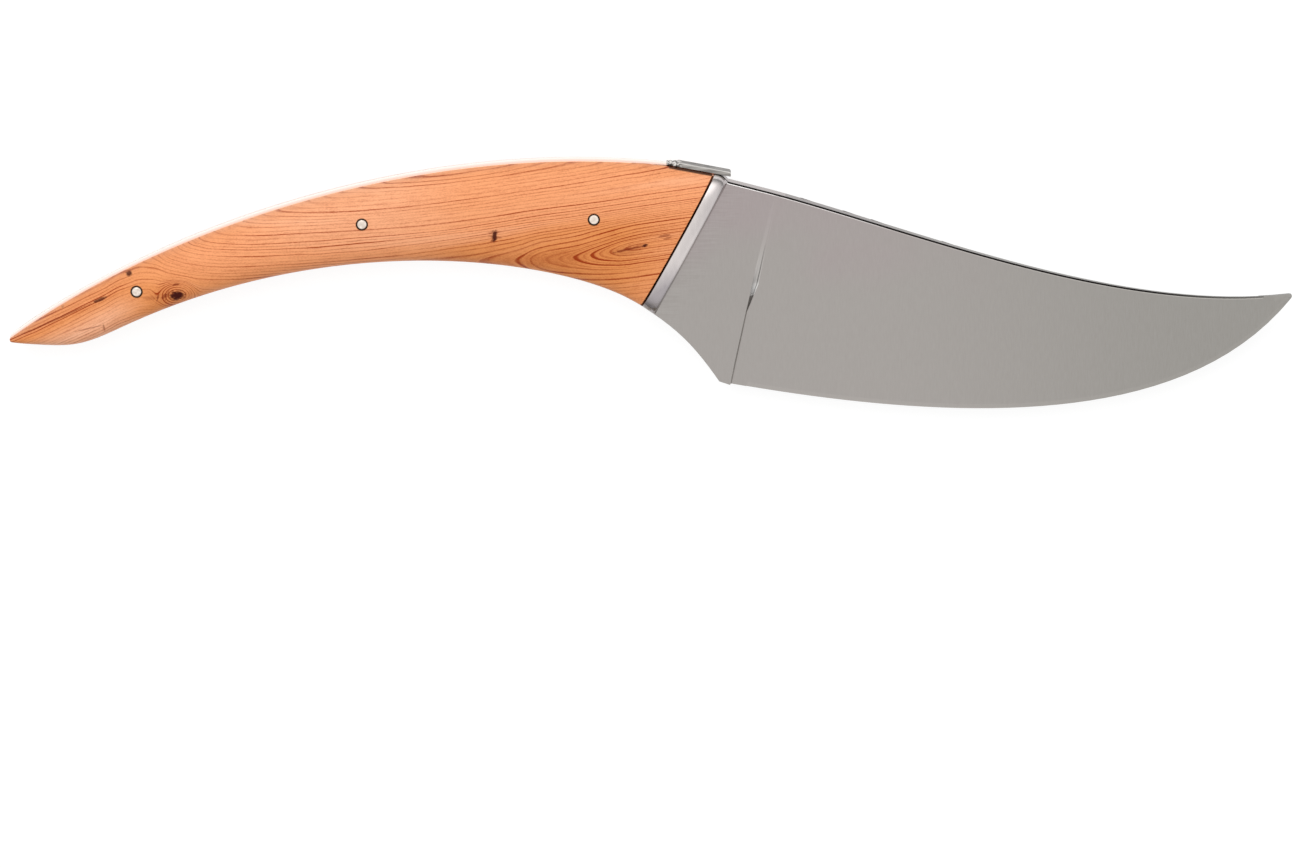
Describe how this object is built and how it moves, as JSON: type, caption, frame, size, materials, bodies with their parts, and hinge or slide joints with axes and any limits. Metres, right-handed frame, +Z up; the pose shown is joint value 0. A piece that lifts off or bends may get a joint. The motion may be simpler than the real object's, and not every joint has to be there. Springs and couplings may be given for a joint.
{
  "type": "cheese knife",
  "caption": "Fixed-blade cheese knife with a broad upswept ground blade, full tang, pinned wooden scales, slanted steel bolsters and a thumb plate on the back.",
  "frame": {"origin": "under the middle of the knife's box, on the plane that its left side lies on", "axes": "+X from the handle's tail to the blade's point, +Y from the cutting edge to the spine, +Z up out of the right side"},
  "size_m": [0.2602, 0.052, 0.0148],
  "materials": {
    "blade_steel": "fine satin grind, grey",
    "bright_steel": "brushed, brighter than the blade",
    "handle_wood": "oiled orange softwood with fine brown growth rings and small knots"
  },
  "bodies": {
    "root": {"blade": "blade_steel", "right_bolster": "bright_steel", "left_bolster": "bright_steel", "right_scale": "handle_wood", "left_scale": "handle_wood", "thumb_plate": "bright_steel", "pin_front": "bright_steel", "pin_middle": "bright_steel", "pin_rear": "bright_steel"}
  },
  "joints": []
}
